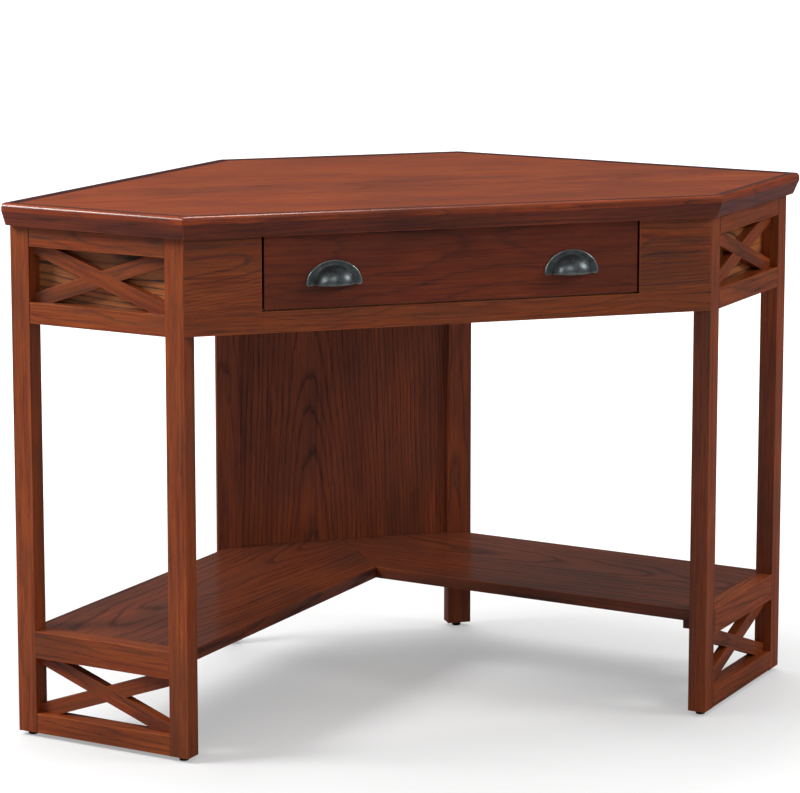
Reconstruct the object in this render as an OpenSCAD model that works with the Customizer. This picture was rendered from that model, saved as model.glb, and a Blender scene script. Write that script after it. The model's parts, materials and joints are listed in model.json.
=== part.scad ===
// Corner desk with lattice side frames, a V-shaped lower shelf and one drawer.
// All sizes are in millimetres. +X is to the right of a person sitting at the
// desk, +Y is towards the room's corner and +Z is up. The origin is on the
// floor, below the middle of the desk's bounding box.

/* [Whole desk] */
// Height of the writing surface above the floor
desk_h = 762; // [740:1:790]
// Half the length of the apron, from the centre to the front post's corner
half_front = 381; // [370:1:410]
// Length of each side frame, from the front corner to the wall
side_len = 283; // [270:1:310]
// Distance of the desktop's back edge behind the apron's front face
back_y = 589; // [585:1:600]

/* [Desktop] */
// Thickness of the desktop board
top_board_t = 16; // [12:1:18]
// Height of the moulding round the front and the sides
moulding_h = 32; // [30:1:36]
// How far the moulding stands out from the side frames
moulding_reach = 20; // [18:1:28]
// Gap between the apron and the back of the front moulding
moulding_gap = 3; // [0:1:5]
// Radius of the moulding's rounded upper edge
moulding_round_r = 6; // [3:1:7]
// Height of the moulding's upright nose, with the rounding
moulding_nose_h = 11; // [9:1:14]
// Width of the slope under the moulding's nose
moulding_slope_w = 9.5; // [6:0.5:12]
// Width of the moulding that shows on the desktop
moulding_top_w = 14; // [8:1:16]
// Thickness of the plain edging at the wall and back edges
edging_t = 20; // [12:1:24]

/* [Side frames] */
// Width of a post along the side frame
post_w = 30; // [26:1:36]
// Thickness of the posts and rails
frame_t = 26.5; // [24:0.5:32]
// Height of the top rail's lower edge
top_rail_z = 701; // [690:1:710]
// Height of the lattice rail's upper edge
lattice_rail_top_z = 623; // [612:1:626]
// Height of the lattice rail's lower edge
lattice_rail_z = 593; // [580:1:594]
// Height of the lower shelf's upper surface
shelf_z = 154; // [140:1:200]
// Height of the rail beside the shelf
shelf_rail_h = 39; // [34:1:44]
// Height of the foot rail
foot_rail_h = 28.5; // [24:0.5:32]
// Width of a lattice bar
lattice_w = 21; // [16:1:24]
// Thickness of a lattice bar
lattice_t = 14.5; // [10:0.5:16]
// Length of the tenons at the rails' ends
tenon_len = 12; // [8:1:12]
// Thickness of the tenons
tenon_t = 10; // [8:1:12]
// Setback of the tenons from the rails' upper and lower edges
tenon_shoulder = 4; // [3:1:6]
// Thickness of the board behind the upper lattice
backing_t = 6; // [4:1:8]

/* [Feet] */
// Height of the round glides under the posts
glide_h = 6; // [4:1:10]
// Radius of a glide
glide_r = 7.5; // [6:0.5:10]

/* [Back] */
// Half the distance between the back posts
back_half_w = 169.4; // [150:0.1:180]
// Width of a back post
back_post_w = 37; // [32:1:40]
// Depth of a back post
back_post_d = 24; // [22:1:30]
// Setback of the panel behind the back posts' front faces
panel_setback = 10; // [4:1:11]
// Thickness of the back panel
panel_t = 9; // [6:1:10]
// Depth of the grooves that hold the back panel
panel_groove = 5; // [3:1:8]
// Thickness of the rails along the walls and across the back
wall_rail_t = 18; // [15:1:20]
// Height of the rails along the walls
wall_rail_h = 80; // [50:1:90]
// Height of the back rail under the desktop
back_rail_h = 50; // [40:1:80]

/* [Lower shelf] */
// Thickness of the shelf boards
shelf_t = 17.5; // [15:0.5:20]
// Setback of the shelf's front edge from the side frame's front corner
shelf_front_set = 8; // [5:0.5:20]
// Distance of the shelf's back edge from the side frame's front corner
shelf_back_set = 270.5; // [255:0.5:280]
// Gap between the shelf boards and the frames, posts and panel round them
shelf_gap = 0.3; // [0.2:0.1:1]
// Height of the cleats under the shelf
cleat_h = 12; // [8:1:20]
// Width of the cleats under the shelf
cleat_w = 14; // [10:1:20]
// Height of the shelf's back rail
shelf_back_rail_h = 26; // [20:1:40]

/* [Apron] */
// Thickness of the apron pieces
apron_t = 18; // [15:0.5:18.5]
// Height of the apron's lower edge
apron_z = 595; // [585:1:598]
// Height of the drawer opening's lower edge
opening_z = 625; // [618:1:630]
// Half the width of the drawer opening
opening_half_w = 272; // [250:1:290]
// Height of the rail above the drawer opening
apron_top_h = 15; // [12:1:16]
// Leg of the triangular corner blocks
corner_block = 40; // [30:1:45]
// Height of the corner blocks
corner_block_h = 46; // [30:1:60]

/* [Drawer] */
// Gap at each side of the drawer front
front_side_gap = 3; // [2:0.5:4]
// Gap under the drawer front
front_low_gap = 2.5; // [1.5:0.5:4]
// Gap between the drawer front and the moulding above it
front_top_gap = 1.5; // [1:0.5:3]
// Thickness of the drawer front
front_t = 18; // [16:0.5:20]
// Depth of the drawer box behind the front
box_d = 400; // [350:10:420]
// Height of the drawer box
box_h = 80; // [70:1:82]
// Height of the box's lower edge above the drawer opening's lower edge
box_lift = 10; // [8:1:14]
// Thickness of the drawer box's sides and back
box_t = 12; // [10:1:15]
// Thickness of the drawer's bottom
bottom_t = 6; // [4:1:8]
// Height of the bottom's groove above the box's lower edge
groove_lift = 8; // [6:1:12]
// Depth of the grooves for the bottom
groove_d = 6; // [4:1:8]
// Depth of the slots in the drawer front that hold the sides
housing_d = 8; // [6:1:10]

/* [Drawer slides] */
// Space between the drawer box and the carrier board
slide_space = 13; // [12.5:0.5:14]
// Height of the slide's outer channel
slide_h = 45; // [42:1:46]
// Length of the slide members
slide_len = 400; // [350:10:400]
// Thickness of the slides' steel
slide_steel = 1.5; // [1.2:0.1:1.6]

/* [Cup pulls] */
// Distance of each pull's centre from the desk's centre
pull_x = 171; // [150:1:190]
// Height of the pulls' lower edge
pull_z = 657; // [650:1:670]
// Width of a pull
pull_w = 79; // [70:1:90]
// Height of a pull
pull_h = 35; // [30:1:38]
// How far a pull stands out from the drawer front
pull_depth = 22; // [18:1:24]
// Width of the flat rim above the pull's dome
pull_rim = 7; // [5:0.5:9]
// Width of the rim at each side of the dome's foot
pull_foot = 11; // [8:0.5:12]
// Thickness of the pull's rim
pull_rim_t = 2.2; // [1.5:0.1:3]
// Thickness of the pull's dome
pull_wall = 1.8; // [1.4:0.1:2.4]
// Distance of the fixing screws from the pull's centre
pull_screw_x = 20; // [17:1:21]
// Height of the fixing screws above the pull's lower edge
pull_screw_z = 8; // [6:1:10]

/* [Hidden] */
eps = 0.01;
root2 = sqrt(2);
smooth_fn = 48;
hole_fn = 32;
round_steps = 12;

// Heights
frame_top_z = desk_h - top_board_t;
moulding_low_z = desk_h - moulding_h;
shelf_low_z = shelf_z - shelf_t;
shelf_rail_z = shelf_z - shelf_rail_h;
foot_rail_top_z = glide_h + foot_rail_h;
post_h = frame_top_z - glide_h;

// Plan of the desk: the apron's front face is on y = 0 until it is placed
front_nose_y = -moulding_gap - moulding_reach;
mid_y = (back_y + front_nose_y) / 2;
wall_sum = half_front + side_len * root2;
panel_reach = moulding_reach - moulding_top_w;
mitre_x0 = half_front - moulding_gap;
board_sum = wall_sum - edging_t * root2;
back_post_y = back_y - back_post_d;
back_outer_x = back_half_w + back_post_w;
panel_y = back_post_y + panel_setback;
rail_inner_sum = half_front + (side_len - wall_rail_t) * root2;
shelf_front_sum = half_front + shelf_front_set * root2;
shelf_back_sum = half_front + shelf_back_set * root2;
frame_inner_diff = half_front - frame_t * root2;

// Lattice
rail_span = side_len - 2 * post_w;
upper_bay_h = top_rail_z - lattice_rail_top_z;
lower_bay_h = shelf_rail_z - foot_rail_top_z;
lattice_y = frame_t - lattice_t;
tenon_y = (frame_t - tenon_t) / 2;
backing_margin = 12;
backing_rise = 14;

// Glides
glide_toe = 1;
glide_stem_r = 2.5;
glide_stem_h = 14;
back_glide_x = back_half_w + back_post_w * 0.45;
back_glide_y = back_post_y + back_post_d * 0.45;

// Corner blocks and screws
block_x = opening_half_w + wall_rail_t;
screw_inset = 12;
screw_r = 2;
screw_head_r = 4;
screw_head_h = 2.2;
screw_bite = 10;

// Drawer
front_half_w = opening_half_w - front_side_gap;
front_z = opening_z + front_low_gap;
front_top_z = moulding_low_z - front_top_gap;
box_half_w = opening_half_w - slide_space;
box_z = opening_z + box_lift;
box_end_y = front_t + box_d;
bottom_z = box_z + groove_lift;
bottom_half_w = box_half_w - box_t + groove_d;

// Slide members, measured across the slide's space from the carrier board
slide_y = apron_t + 1.5;
slide_mid_z = box_z + box_h / 2;
outer_lip = 9.5;
middle_web = 2.2;
middle_lip = 11;
middle_half_h = slide_h / 2 - 3.5;
inner_web = slide_space - slide_steel;
inner_lip = 4.5;
inner_half_h = middle_half_h - 4.5;
cage_gap = 0.4;
cage_w = 4;
cage_len = 120;
cage_step = 1;
slide_screw_r = 1.8;
slide_head_r = 3.2;
slide_head_h = 0.4;
inner_head_h = 1.4;
slide_screw_in = 12;
box_screw_in = 9;
slide_screw_ys = [40, 200, 360];

// Cup pulls
dome_half_w = pull_w / 2 - pull_foot;
dome_h = pull_h - pull_rim;
lobe_r = pull_rim * 0.7;
boss_r = 3.5;
pull_screw_r = 1.65;
pull_screw_len = 8;

// ---------- placing ----------

// Moves a piece drawn from the apron's front face to the desk's own origin
module on_desk() {
  translate([0, -mid_y, 0]) children();
}

// A side frame is drawn once, seen from outside: X runs to the right along it
// and Y runs inwards. The left frame is the same frame, turned.
module on_side(side) {
  on_desk()
    if (side > 0)
      translate([half_front, 0, 0]) rotate([0, 0, 45]) children();
    else
      translate([-half_front - side_len / root2, side_len / root2, 0])
        rotate([0, 0, -45]) children();
}

// Draws a right-hand piece, or its mirror image for the left
module on_hand(side) {
  on_desk()
    if (side > 0)
      children();
    else
      mirror([1, 0, 0]) children();
}

// A board cut to a plan outline
module board(outline, z0, z1) {
  translate([0, 0, z0]) linear_extrude(z1 - z0) polygon(outline);
}

// ---------- colours ----------

module top_wood() {
  color([0.46, 0.17, 0.07]) children();
}

module frame_wood() {
  color([0.40, 0.16, 0.07]) children();
}

module inner_wood() {
  color([0.55, 0.38, 0.22]) children();
}

module slide_metal() {
  color([0.66, 0.67, 0.69]) children();
}

module pull_metal() {
  color([0.25, 0.26, 0.28]) children();
}

module glide_plastic() {
  color([0.10, 0.08, 0.07]) children();
}

// ---------- desktop ----------

module desktop_board() {
  front_x = half_front + panel_reach * root2 + front_nose_y + moulding_top_w;
  side_diff = half_front + panel_reach * root2;
  side_x = (board_sum + side_diff) / 2;
  rear_y = back_y - edging_t;
  rear_x = board_sum - rear_y;
  front_y = front_nose_y + moulding_top_w;
  outline = [[front_x, front_y], [side_x, board_sum - side_x], [rear_x, rear_y],
    [-rear_x, rear_y], [-side_x, board_sum - side_x], [-front_x, front_y]];
  top_wood() on_desk() difference() {
    board(outline, frame_top_z, desk_h);
    for (side = [-1, 1])
      block_screw_hole(side, frame_top_z - eps, screw_bite + 2 * eps);
  }
}

// Section of the moulding: X is inwards from the nose, Y is down from the top
module moulding_section() {
  arc = [for (i = [0 : round_steps])
    let (a = 90 * i / round_steps)
    [-moulding_reach + moulding_round_r * (1 - sin(a)),
     -moulding_round_r * (1 - cos(a))]];
  polygon(concat(
    [[0, -moulding_h], [0, -top_board_t], [-panel_reach, -top_board_t], [-panel_reach, 0]],
    arc,
    [[-moulding_reach, -moulding_nose_h], [-moulding_reach + moulding_slope_w, -moulding_h]]));
}

module moulding_strip(length) {
  rotate([90, 0, 90]) linear_extrude(length) moulding_section();
}

// X of the mitre between the front and side mouldings, at a given Y
function mitre_x(y) = mitre_x0 - (moulding_gap + y) * tan(22.5);

module front_moulding() {
  low_y = front_nose_y - 1;
  strip_half = half_front + moulding_reach;
  top_wood() on_desk() intersection() {
    translate([-strip_half, -moulding_gap, desk_h]) moulding_strip(2 * strip_half);
    board([[-mitre_x(1), 1], [-mitre_x(low_y), low_y], [mitre_x(low_y), low_y],
      [mitre_x(1), 1]], moulding_low_z - 1, desk_h + 1);
  }
}

module side_moulding(side) {
  low_y = front_nose_y - 1;
  far_x = half_front + side_len;
  top_wood() on_hand(side) intersection() {
    translate([half_front, 0, desk_h]) rotate([0, 0, 45])
      translate([-moulding_reach, 0, 0]) moulding_strip(side_len + moulding_reach);
    board([[mitre_x(1), 1], [mitre_x(low_y), low_y], [far_x, low_y],
      [far_x, side_len], [mitre_x(1), side_len]], moulding_low_z - 1, desk_h + 1);
  }
}

module wall_edging(side) {
  side_diff = half_front + panel_reach * root2;
  outer_x = (wall_sum + side_diff) / 2;
  inner_x = (board_sum + side_diff) / 2;
  rear_y = back_y - edging_t;
  top_wood() on_hand(side)
    board([[outer_x, wall_sum - outer_x], [wall_sum - back_y, back_y],
      [board_sum - rear_y, rear_y], [inner_x, board_sum - inner_x]],
      frame_top_z, desk_h);
}

module back_edging() {
  rear_y = back_y - edging_t;
  outer_x = wall_sum - back_y;
  inner_x = board_sum - rear_y;
  top_wood() on_desk()
    board([[outer_x, back_y], [-outer_x, back_y], [-inner_x, rear_y], [inner_x, rear_y]],
      frame_top_z, desk_h);
}

// ---------- side frames ----------

// Tenon or mortise of a rail between heights z0 and z1
module tenon(x, z0, z1) {
  translate([x, tenon_y, z0 + tenon_shoulder])
    cube([tenon_len, tenon_t, z1 - z0 - 2 * tenon_shoulder]);
}

module frame_tenons(x) {
  tenon(x, top_rail_z, frame_top_z);
  tenon(x, lattice_rail_z, lattice_rail_top_z);
  tenon(x, shelf_rail_z, shelf_z);
  tenon(x, glide_h, foot_rail_top_z);
}

// The post at the frame's left end (0) or right end (1), seen from outside
module frame_post(side, end) {
  x = end * (side_len - post_w);
  mortise_x = end == 0 ? post_w - tenon_len : side_len - post_w;
  frame_wood() on_side(side) difference() {
    translate([x, 0, glide_h]) cube([post_w, frame_t, post_h]);
    frame_tenons(mortise_x);
    translate([x + post_w / 2, frame_t / 2, 0]) glide_hole();
  }
}

module frame_rail(side, z0, z1) {
  frame_wood() on_side(side) union() {
    translate([post_w, 0, z0]) cube([rail_span, frame_t, z1 - z0]);
    tenon(post_w - tenon_len, z0, z1);
    tenon(side_len - post_w, z0, z1);
  }
}

// One bar of a lattice. A falling bar runs down to the right, seen from
// outside, and lies in front where the two bars are halved together.
module lattice_bar(side, z0, bay_h, falling) {
  slope = atan2(bay_h, rail_span) * (falling ? 1 : -1);
  notch_y = falling ? lattice_t / 2 : 0;
  centre = [post_w + rail_span / 2, lattice_y + lattice_t / 2, z0 + bay_h / 2];
  frame_wood() on_side(side) difference() {
    intersection() {
      translate([post_w, lattice_y, z0]) cube([rail_span, lattice_t, bay_h]);
      translate(centre) rotate([0, slope, 0])
        cube([rail_span * 1.5, lattice_t, lattice_w], center = true);
    }
    translate(centre) rotate([0, -slope, 0])
      translate([-rail_span, notch_y - lattice_t / 2 - (falling ? 0 : eps), -lattice_w / 2])
        cube([rail_span * 2, lattice_t / 2 + eps, lattice_w]);
  }
}

module backing_board(side) {
  frame_wood() on_side(side)
    translate([post_w - backing_margin, frame_t, lattice_rail_top_z - backing_rise])
      cube([rail_span + 2 * backing_margin, backing_t,
        frame_top_z - lattice_rail_top_z + backing_rise]);
}

// ---------- back ----------

module back_post(side) {
  outline = [[back_half_w, back_post_y], [back_outer_x, back_post_y],
    [back_outer_x, wall_sum - back_outer_x], [wall_sum - back_y, back_y],
    [back_half_w, back_y]];
  frame_wood() on_hand(side) difference() {
    board(outline, glide_h, frame_top_z);
    translate([back_half_w - eps, panel_y, shelf_low_z])
      cube([panel_groove + eps, panel_t, frame_top_z - shelf_low_z + eps]);
    translate([back_glide_x, back_glide_y, 0]) glide_hole();
  }
}

module back_panel() {
  half_w = back_half_w + panel_groove;
  frame_wood() on_desk()
    translate([-half_w, panel_y, shelf_low_z])
      cube([2 * half_w, panel_t, frame_top_z - shelf_low_z]);
}

module back_top_rail() {
  frame_wood() on_desk()
    translate([-back_half_w, panel_y - wall_rail_t, frame_top_z - back_rail_h])
      cube([2 * back_half_w, wall_rail_t, back_rail_h]);
}

module shelf_back_rail() {
  frame_wood() on_desk()
    translate([-back_half_w, panel_y - wall_rail_t, shelf_low_z - shelf_back_rail_h])
      cube([2 * back_half_w, wall_rail_t, shelf_back_rail_h]);
}

module wall_rail(side) {
  inner_x = (rail_inner_sum + frame_inner_diff) / 2;
  outer_x = (wall_sum + frame_inner_diff) / 2;
  frame_wood() on_hand(side)
    board([[inner_x, rail_inner_sum - inner_x], [outer_x, wall_sum - outer_x],
      [back_outer_x, wall_sum - back_outer_x],
      [back_outer_x, rail_inner_sum - back_outer_x]],
      frame_top_z - wall_rail_h, frame_top_z);
}

// ---------- lower shelf ----------

// The two boards meet in a mitre on the desk's centre line
module shelf(side) {
  end_diff = frame_inner_diff - shelf_gap * root2;
  front_x = (shelf_front_sum + end_diff) / 2;
  rear_x = (shelf_back_sum + end_diff) / 2;
  rear_y = panel_y - shelf_gap;
  notch_x = back_half_w - shelf_gap;
  notch_y = back_post_y - shelf_gap;
  outline = [[front_x, shelf_front_sum - front_x], [0, shelf_front_sum], [0, rear_y],
    [notch_x, rear_y], [notch_x, notch_y], [shelf_back_sum - notch_y, notch_y],
    [rear_x, shelf_back_sum - rear_x]];
  top_wood() on_hand(side) board(outline, shelf_low_z, shelf_z);
}

module shelf_cleats() {
  start = shelf_front_set + 2;
  length = shelf_back_set - shelf_front_set - 4;
  frame_wood()
    for (side = [-1, 1])
      on_side(side)
        translate([side > 0 ? start : side_len - start - length, frame_t,
          shelf_low_z - cleat_h])
          cube([length, cleat_w, cleat_h]);
}

// ---------- apron ----------

module apron_low_rail() {
  frame_wood() on_desk()
    board([[-half_front, 0], [half_front, 0], [half_front - apron_t, apron_t],
      [-half_front + apron_t, apron_t]], apron_z, opening_z);
}

module apron_top_rail() {
  frame_wood() on_desk()
    translate([-opening_half_w, 0, frame_top_z - apron_top_h])
      cube([2 * opening_half_w, apron_t, apron_top_h]);
}

module apron_block(side) {
  frame_wood() on_hand(side)
    board([[opening_half_w, 0], [half_front, 0], [half_front - apron_t, apron_t],
      [opening_half_w, apron_t]], opening_z, frame_top_z);
}

// Board that carries the drawer slide, from the apron to the wall rail
module carrier(side) {
  outline = [[opening_half_w, apron_t], [block_x, apron_t],
    [block_x, rail_inner_sum - block_x], [opening_half_w, rail_inner_sum - opening_half_w]];
  inner_wood() on_hand(side) difference() {
    board(outline, opening_z, frame_top_z);
    for (y = slide_screw_ys)
      translate([opening_half_w - eps, slide_y + y, slide_mid_z]) rotate([0, 90, 0])
        cylinder(h = slide_screw_in + eps, r = slide_screw_r, $fn = hole_fn);
  }
}

module block_screw_hole(side, z, h) {
  translate([side * (block_x + screw_inset), apron_t + screw_inset, z])
    cylinder(h = h, r = screw_r, $fn = hole_fn);
}

module corner_blocks() {
  low_z = frame_top_z - corner_block_h;
  outline = [[block_x, apron_t], [block_x + corner_block, apron_t],
    [block_x, apron_t + corner_block]];
  inner_wood()
    for (side = [-1, 1])
      difference() {
        on_hand(side) board(outline, low_z, frame_top_z);
        on_desk() block_screw_hole(side, low_z - eps, corner_block_h + 2 * eps);
      }
}

module block_screws() {
  low_z = frame_top_z - corner_block_h;
  slide_metal() on_desk()
    for (side = [-1, 1]) {
      block_screw_hole(side, low_z, corner_block_h + screw_bite);
      translate([side * (block_x + screw_inset), apron_t + screw_inset,
        low_z - screw_head_h])
        cylinder(h = screw_head_h, r = screw_head_r, $fn = hole_fn);
    }
}

// ---------- drawer slides ----------

// A steel channel lying along Y: its web is at X from web to web + steel and
// its two lips reach to X = lip
module channel(web, lip, half_h) {
  lip_x = min(web, lip);
  lip_w = abs(lip - web) + (lip < web ? slide_steel : 0);
  translate([web, 0, -half_h]) cube([slide_steel, slide_len, 2 * half_h]);
  for (s = [-1, 1])
    translate([lip_x, 0, s * (half_h - slide_steel / 2) - slide_steel / 2])
      cube([lip_w, slide_len, slide_steel]);
}

// Both sides of the drawer, X measured from the carrier towards the drawer
module at_slides() {
  on_desk()
    for (side = [-1, 1])
      translate([side * opening_half_w, slide_y, slide_mid_z])
        mirror([side > 0 ? 1 : 0, 0, 0]) children();
}

module slide_outer_members() {
  slide_metal() at_slides() difference() {
    channel(0, outer_lip, slide_h / 2);
    for (y = slide_screw_ys)
      translate([-eps, y, 0]) rotate([0, 90, 0])
        cylinder(h = slide_steel + 2 * eps, r = slide_screw_r, $fn = hole_fn);
  }
}

module slide_screws() {
  slide_metal() at_slides()
    for (y = slide_screw_ys)
      translate([0, y, 0]) rotate([0, 90, 0]) {
        translate([0, 0, -slide_screw_in])
          cylinder(h = slide_screw_in + slide_steel, r = slide_screw_r, $fn = hole_fn);
        translate([0, 0, slide_steel])
          cylinder(h = slide_head_h, r = slide_head_r, $fn = hole_fn);
      }
}

// The middle members carry the strips that hold the balls
module slide_middle_members() {
  outer_cage_h = slide_h / 2 - slide_steel - middle_half_h - cage_gap;
  inner_cage_h = middle_half_h - slide_steel - inner_half_h - cage_gap;
  cage_x = (middle_web + middle_lip - cage_w) / 2;
  slide_metal() at_slides() {
    channel(middle_web, middle_lip, middle_half_h);
    for (s = [0, 1])
      mirror([0, 0, s]) {
        translate([cage_x - cage_step, (slide_len - cage_len) / 2, middle_half_h - eps])
          cube([cage_w, cage_len, outer_cage_h + eps]);
        translate([cage_x, (slide_len - cage_len) / 2,
          middle_half_h - slide_steel - inner_cage_h])
          cube([cage_w, cage_len, inner_cage_h + eps]);
      }
  }
}

module slide_inner_members() {
  slide_metal() at_slides() difference() {
    channel(inner_web, inner_lip, inner_half_h);
    for (y = slide_screw_ys)
      translate([inner_web - eps, y, 0]) rotate([0, 90, 0])
        cylinder(h = slide_steel + 2 * eps, r = slide_screw_r, $fn = hole_fn);
  }
}

module box_screws() {
  slide_metal() at_slides()
    for (y = slide_screw_ys)
      translate([inner_web, y, 0]) rotate([0, 90, 0]) {
        cylinder(h = slide_steel + box_screw_in, r = slide_screw_r, $fn = hole_fn);
        translate([0, 0, -inner_head_h])
          cylinder(h = inner_head_h, r = slide_head_r, $fn = hole_fn);
      }
}

// ---------- drawer ----------

module pull_screw_holes(y0, y1, r) {
  for (side = [-1, 1], s = [-1, 1])
    translate([side * pull_x + s * pull_screw_x, y1, pull_z + pull_screw_z])
      rotate([90, 0, 0]) cylinder(h = y1 - y0, r = r, $fn = hole_fn);
}

module drawer_front() {
  frame_wood() on_desk() difference() {
    translate([-front_half_w, 0, front_z])
      cube([2 * front_half_w, front_t, front_top_z - front_z]);
    for (side = [-1, 1])
      translate([side * (box_half_w - box_t / 2) - box_t / 2, front_t - housing_d, box_z])
        cube([box_t, housing_d + eps, box_h]);
    translate([-bottom_half_w, front_t - groove_d, bottom_z])
      cube([2 * bottom_half_w, groove_d + eps, bottom_t]);
    pull_screw_holes(-eps, front_t + eps, pull_screw_r);
  }
}

module drawer_side(side) {
  inner_wood() on_hand(side) difference() {
    translate([box_half_w - box_t, front_t - housing_d, box_z])
      cube([box_t, box_end_y - front_t + housing_d, box_h]);
    translate([box_half_w - box_t - eps, front_t - groove_d, bottom_z])
      cube([groove_d + eps, box_end_y - box_t + 2 * groove_d - front_t, bottom_t]);
    for (y = slide_screw_ys)
      translate([box_half_w + eps, slide_y + y, slide_mid_z]) rotate([0, -90, 0])
        cylinder(h = box_screw_in + eps, r = slide_screw_r, $fn = hole_fn);
  }
}

module drawer_back() {
  half_w = box_half_w - box_t;
  inner_wood() on_desk() difference() {
    translate([-half_w, box_end_y - box_t, box_z]) cube([2 * half_w, box_t, box_h]);
    translate([-half_w - eps, box_end_y - box_t - eps, bottom_z])
      cube([2 * half_w + 2 * eps, groove_d + eps, bottom_t]);
  }
}

module drawer_bottom() {
  inner_wood() on_desk()
    translate([-bottom_half_w, front_t - groove_d, bottom_z])
      cube([2 * bottom_half_w, box_end_y - box_t + 2 * groove_d - front_t, bottom_t]);
}

// ---------- cup pulls ----------

// Outline of the rim, seen from the front: an arch with a lobe at each foot
module rim_outline() {
  intersection() {
    scale([pull_w / 2, pull_h]) circle(r = 1, $fn = smooth_fn * 2);
    translate([-pull_w / 2, 0]) square([pull_w, pull_h]);
  }
  for (s = [-1, 1])
    translate([s * (pull_w / 2 - lobe_r), lobe_r * 0.9]) circle(r = lobe_r, $fn = smooth_fn);
}

module dome(shrink) {
  scale([dome_half_w - shrink, pull_depth - shrink, dome_h - shrink])
    sphere(r = 1, $fn = smooth_fn);
}

module cup_pull() {
  difference() {
    union() {
      rotate([90, 0, 0]) linear_extrude(pull_rim_t) rim_outline();
      dome(0);
    }
    difference() {
      dome(pull_wall);
      for (s = [-1, 1])
        translate([s * pull_screw_x, 0, pull_screw_z]) rotate([90, 0, 0])
          cylinder(h = pull_depth, r = boss_r, $fn = hole_fn);
    }
    translate([-pull_w, 0, -pull_h]) cube([2 * pull_w, pull_depth + 1, 3 * pull_h]);
    translate([-pull_w, -pull_depth - 1, -pull_h]) cube([2 * pull_w, pull_depth + 2, pull_h]);
  }
}

module cup_pulls() {
  pull_metal() on_desk() difference() {
    for (side = [-1, 1])
      translate([side * pull_x, 0, pull_z]) cup_pull();
    pull_screw_holes(-pull_screw_len, eps, pull_screw_r);
  }
}

module pull_screws() {
  slide_metal() on_desk() {
    pull_screw_holes(-pull_screw_len, front_t, pull_screw_r);
    pull_screw_holes(front_t, front_t + screw_head_h, screw_head_r);
  }
}

// ---------- feet ----------

module glide_hole() {
  cylinder(h = glide_h + glide_stem_h, r = glide_stem_r, $fn = hole_fn);
}

module glide() {
  cylinder(h = glide_h, r1 = glide_r - glide_toe, r2 = glide_r, $fn = smooth_fn);
  glide_hole();
}

module foot_glides() {
  glide_plastic() {
    for (side = [-1, 1], x = [post_w / 2, side_len - post_w / 2])
      on_side(side) translate([x, frame_t / 2, 0]) glide();
    on_desk()
      for (side = [-1, 1])
        translate([side * back_glide_x, back_glide_y, 0]) glide();
  }
}

// ---------- what is drawn ----------

desktop_board();
front_moulding();
side_moulding(-1);  // left_moulding
side_moulding(1);  // right_moulding
wall_edging(-1);  // left_wall_edging
wall_edging(1);  // right_wall_edging
back_edging();
frame_post(-1, 1);  // left_front_post
frame_post(-1, 0);  // left_rear_post
frame_rail(-1, top_rail_z, frame_top_z);  // left_top_rail
frame_rail(-1, lattice_rail_z, lattice_rail_top_z);  // left_lattice_rail
frame_rail(-1, shelf_rail_z, shelf_z);  // left_shelf_rail
frame_rail(-1, glide_h, foot_rail_top_z);  // left_foot_rail
lattice_bar(-1, lattice_rail_top_z, upper_bay_h, true);  // left_upper_bar_falling
lattice_bar(-1, lattice_rail_top_z, upper_bay_h, false);  // left_upper_bar_rising
lattice_bar(-1, foot_rail_top_z, lower_bay_h, true);  // left_lower_bar_falling
lattice_bar(-1, foot_rail_top_z, lower_bay_h, false);  // left_lower_bar_rising
backing_board(-1);  // left_backing_board
frame_post(1, 0);  // right_front_post
frame_post(1, 1);  // right_rear_post
frame_rail(1, top_rail_z, frame_top_z);  // right_top_rail
frame_rail(1, lattice_rail_z, lattice_rail_top_z);  // right_lattice_rail
frame_rail(1, shelf_rail_z, shelf_z);  // right_shelf_rail
frame_rail(1, glide_h, foot_rail_top_z);  // right_foot_rail
lattice_bar(1, lattice_rail_top_z, upper_bay_h, true);  // right_upper_bar_falling
lattice_bar(1, lattice_rail_top_z, upper_bay_h, false);  // right_upper_bar_rising
lattice_bar(1, foot_rail_top_z, lower_bay_h, true);  // right_lower_bar_falling
lattice_bar(1, foot_rail_top_z, lower_bay_h, false);  // right_lower_bar_rising
backing_board(1);  // right_backing_board
back_post(-1);  // left_back_post
back_post(1);  // right_back_post
back_panel();
back_top_rail();
shelf_back_rail();
wall_rail(-1);  // left_wall_rail
wall_rail(1);  // right_wall_rail
shelf(-1);  // left_shelf
shelf(1);  // right_shelf
shelf_cleats();
apron_low_rail();
apron_top_rail();
apron_block(-1);  // left_apron_block
apron_block(1);  // right_apron_block
carrier(-1);  // left_carrier
carrier(1);  // right_carrier
corner_blocks();
block_screws();
slide_outer_members();
slide_screws();
slide_middle_members();
slide_inner_members();
box_screws();
drawer_front();
drawer_side(-1);  // drawer_left_side
drawer_side(1);  // drawer_right_side
drawer_back();
drawer_bottom();
cup_pulls();
pull_screws();
foot_glides();
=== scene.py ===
"""Corner desk: looks, floor, light and camera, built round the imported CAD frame."""
import bpy
import bmesh
import json
import math
from mathutils import Matrix, Vector

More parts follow.
